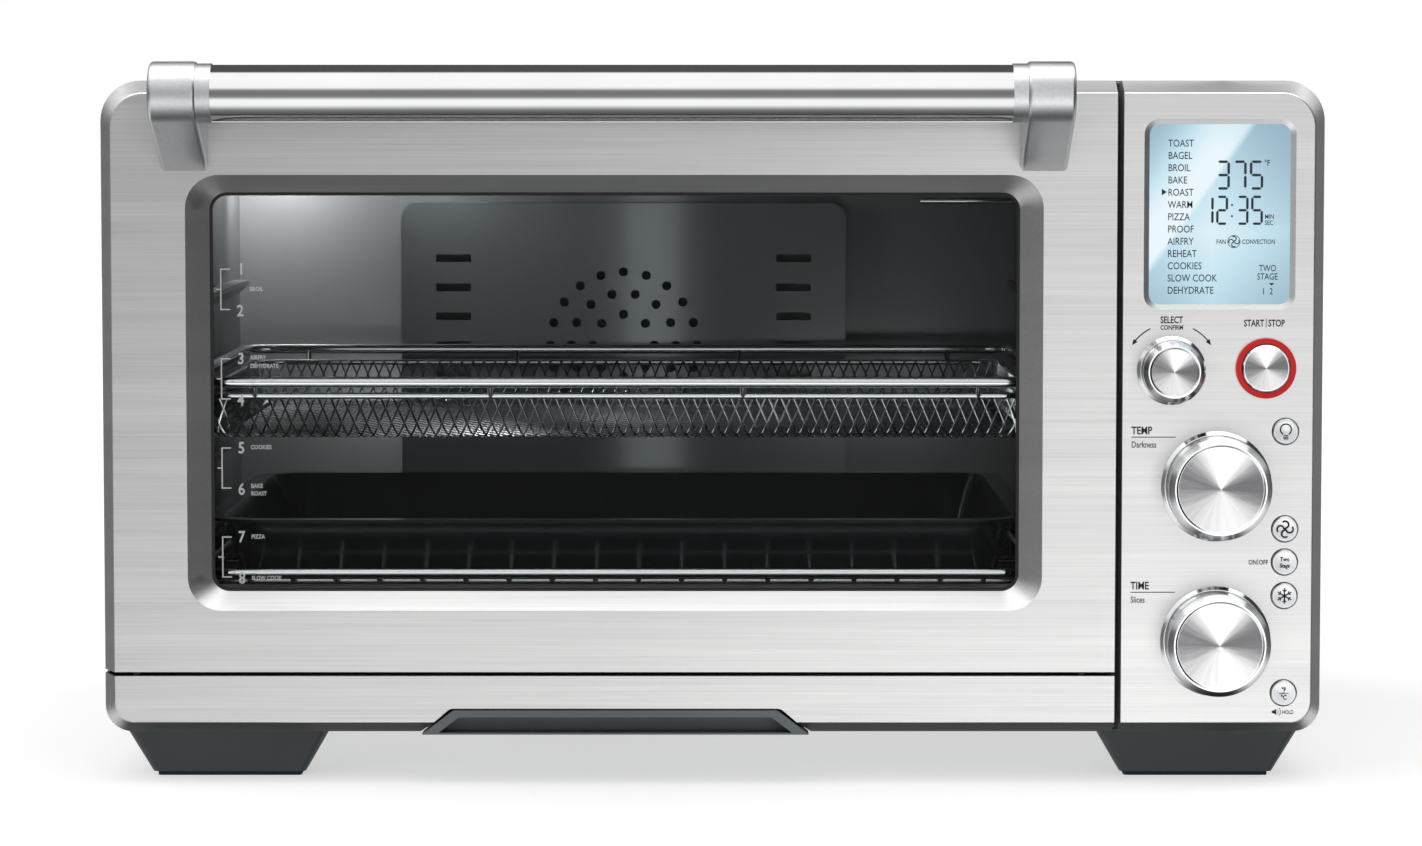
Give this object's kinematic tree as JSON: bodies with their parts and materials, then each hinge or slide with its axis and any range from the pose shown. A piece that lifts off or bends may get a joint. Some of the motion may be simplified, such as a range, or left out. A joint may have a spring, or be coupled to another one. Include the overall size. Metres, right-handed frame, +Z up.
{
  "type": "toaster oven",
  "caption": "Countertop convection toaster oven with drop-down glass door, wire rack, air-fry basket, pan, crumb tray and a side control panel with display and dials.",
  "frame": {"origin": "bottom centre of the whole oven, on the counter under the feet", "axes": "+X to the right as seen from the front, -Y out through the door, +Z up"},
  "size_m": [0.546, 0.439, 0.322],
  "materials": {
    "brushed_steel": "brushed",
    "satin_steel": "satin",
    "spun_steel": "spun",
    "chrome_wire": "polished",
    "polished_bar": "polished",
    "cavity_enamel": "enamel",
    "pan_enamel": "gloss enamel",
    "black_frame": "satin",
    "galvanised": "mill",
    "window_glass": "clear",
    "lens_glass": "frosted",
    "quartz": "frosted",
    "ceramic": "matt",
    "seal_rubber": "matt",
    "pad_rubber": "matt",
    "slate_plastic": "satin",
    "display_glass": "lit",
    "black_plastic": "matt",
    "board_green": "matt",
    "red_ring": "gloss",
    "motor_metal": "satin",
    "aluminium_tray": "matt"
  },
  "bodies": {
    "cabinet": {"wrap_cover": "brushed_steel", "rear_panel": "galvanised", "rear_spacers": "black_plastic", "base_pan": "galvanised", "front_frame": "black_frame", "lower_front_panel": "brushed_steel", "control_panel": "brushed_steel", "cover_screws": "satin_steel", "cord_gland": "black_plastic", "foot_pads": "pad_rubber", "feet": "slate_plastic", "cavity_left_wall": "cavity_enamel", "cavity_right_wall": "cavity_enamel", "cavity_top": "cavity_enamel", "cavity_floor": "cavity_enamel", "cavity_back": "cavity_enamel", "fan_grille": "cavity_enamel", "fan_motor": "motor_metal", "heater_tubes": "quartz", "heater_holders": "ceramic", "oven_lamp": "lens_glass", "lamp_lens": "lens_glass", "temperature_probe": "chrome_wire", "hinge_brackets": "galvanised", "hinge_pins": "satin_steel", "hinge_springs": "satin_steel", "lcd_window": "display_glass", "lcd_module": "black_plastic", "control_board": "board_green", "dial_encoders": "black_plastic", "knob_rings": "polished_bar", "start_stop_ring": "red_ring"},
    "door": {"door_skin": "brushed_steel", "door_glass_outer": "window_glass", "door_glass_inner": "window_glass", "door_liner": "black_frame", "door_seal": "seal_rubber", "handle_bar": "polished_bar", "handle_end_left": "satin_steel", "handle_end_right": "satin_steel", "handle_screws": "satin_steel", "hinge_arm_left": "galvanised", "hinge_arm_right": "galvanised"},
    "basket": {"basket_frame": "chrome_wire", "basket_mesh": "chrome_wire"},
    "lower_rack": {"wire_rack": "chrome_wire", "roasting_pan": "pan_enamel"},
    "crumb_drawer": {"crumb_tray": "aluminium_tray", "crumb_tray_handle": "slate_plastic"},
    "select_slider": {"select_plunger": "black_plastic"},
    "select_dial": {"select_knob": "spun_steel"},
    "temp_dial": {"temp_knob": "spun_steel"},
    "time_dial": {"time_knob": "spun_steel"},
    "start_key": {"start_stop_button": "spun_steel"},
    "light_key": {"light_button": "spun_steel"},
    "fan_key": {"fan_button": "spun_steel"},
    "stage_key": {"stage_button": "spun_steel"},
    "frozen_key": {"frozen_button": "spun_steel"},
    "units_key": {"units_button": "spun_steel"},
    "impeller": {"convection_fan": "galvanised"}
  },
  "joints": [
    {"name": "door_hinge", "type": "hinge", "parent": "cabinet", "child": "door", "pos_m": [0, -0.1635, 0.0379], "axis": [1, 0, 0], "range_deg": [0, 85], "stiffness_Nm_per_rad": 1, "springref_deg": -34.38},
    {"name": "basket_slide", "type": "slide", "parent": "cabinet", "child": "basket", "axis": [0, -1, 0], "range_m": [0, 0.13]},
    {"name": "lower_rack_slide", "type": "slide", "parent": "cabinet", "child": "lower_rack", "axis": [0, -1, 0], "range_m": [0, 0.05]},
    {"name": "crumb_tray_slide", "type": "slide", "parent": "cabinet", "child": "crumb_drawer", "axis": [0, -1, 0], "range_m": [0, 0.19]},
    {"name": "select_push", "type": "slide", "parent": "cabinet", "child": "select_slider", "axis": [0, 1, 0], "range_m": [0, 0.0008], "stiffness_N_per_m": 1500, "springref_m": -0.0008},
    {"name": "select_turn", "type": "hinge", "parent": "select_slider", "child": "select_dial", "pos_m": [0.2041, -0.1685, 0.1853], "axis": [0, 1, 0], "continuous": true},
    {"name": "temp_turn", "type": "hinge", "parent": "cabinet", "child": "temp_dial", "pos_m": [0.2245, -0.1685, 0.13363], "axis": [0, 1, 0], "continuous": true},
    {"name": "time_turn", "type": "hinge", "parent": "cabinet", "child": "time_dial", "pos_m": [0.2245, -0.1685, 0.06422], "axis": [0, 1, 0], "continuous": true},
    {"name": "start_press", "type": "slide", "parent": "cabinet", "child": "start_key", "axis": [0, 1, 0], "range_m": [0, 0.0012], "stiffness_N_per_m": 1200, "springref_m": -0.0008},
    {"name": "light_press", "type": "slide", "parent": "cabinet", "child": "light_key", "axis": [0, 1, 0], "range_m": [0, 0.0008], "stiffness_N_per_m": 1200, "springref_m": -0.0008},
    {"name": "fan_press", "type": "slide", "parent": "cabinet", "child": "fan_key", "axis": [0, 1, 0], "range_m": [0, 0.0008], "stiffness_N_per_m": 1200, "springref_m": -0.0008},
    {"name": "stage_press", "type": "slide", "parent": "cabinet", "child": "stage_key", "axis": [0, 1, 0], "range_m": [0, 0.0008], "stiffness_N_per_m": 1200, "springref_m": -0.0008},
    {"name": "frozen_press", "type": "slide", "parent": "cabinet", "child": "frozen_key", "axis": [0, 1, 0], "range_m": [0, 0.0008], "stiffness_N_per_m": 1200, "springref_m": -0.0008},
    {"name": "units_press", "type": "slide", "parent": "cabinet", "child": "units_key", "axis": [0, 1, 0], "range_m": [0, 0.0008], "stiffness_N_per_m": 1200, "springref_m": -0.0008},
    {"name": "fan_spin", "type": "hinge", "parent": "cabinet", "child": "impeller", "pos_m": [-0.046, 0.1765, 0.1795], "axis": [0, 1, 0], "continuous": true}
  ],
  "couplings": [
    {"joint": "basket_slide", "follows": "door_hinge", "m_per_rad": 0.085},
    {"joint": "lower_rack_slide", "follows": "door_hinge", "m_per_rad": 0.03}
  ]
}
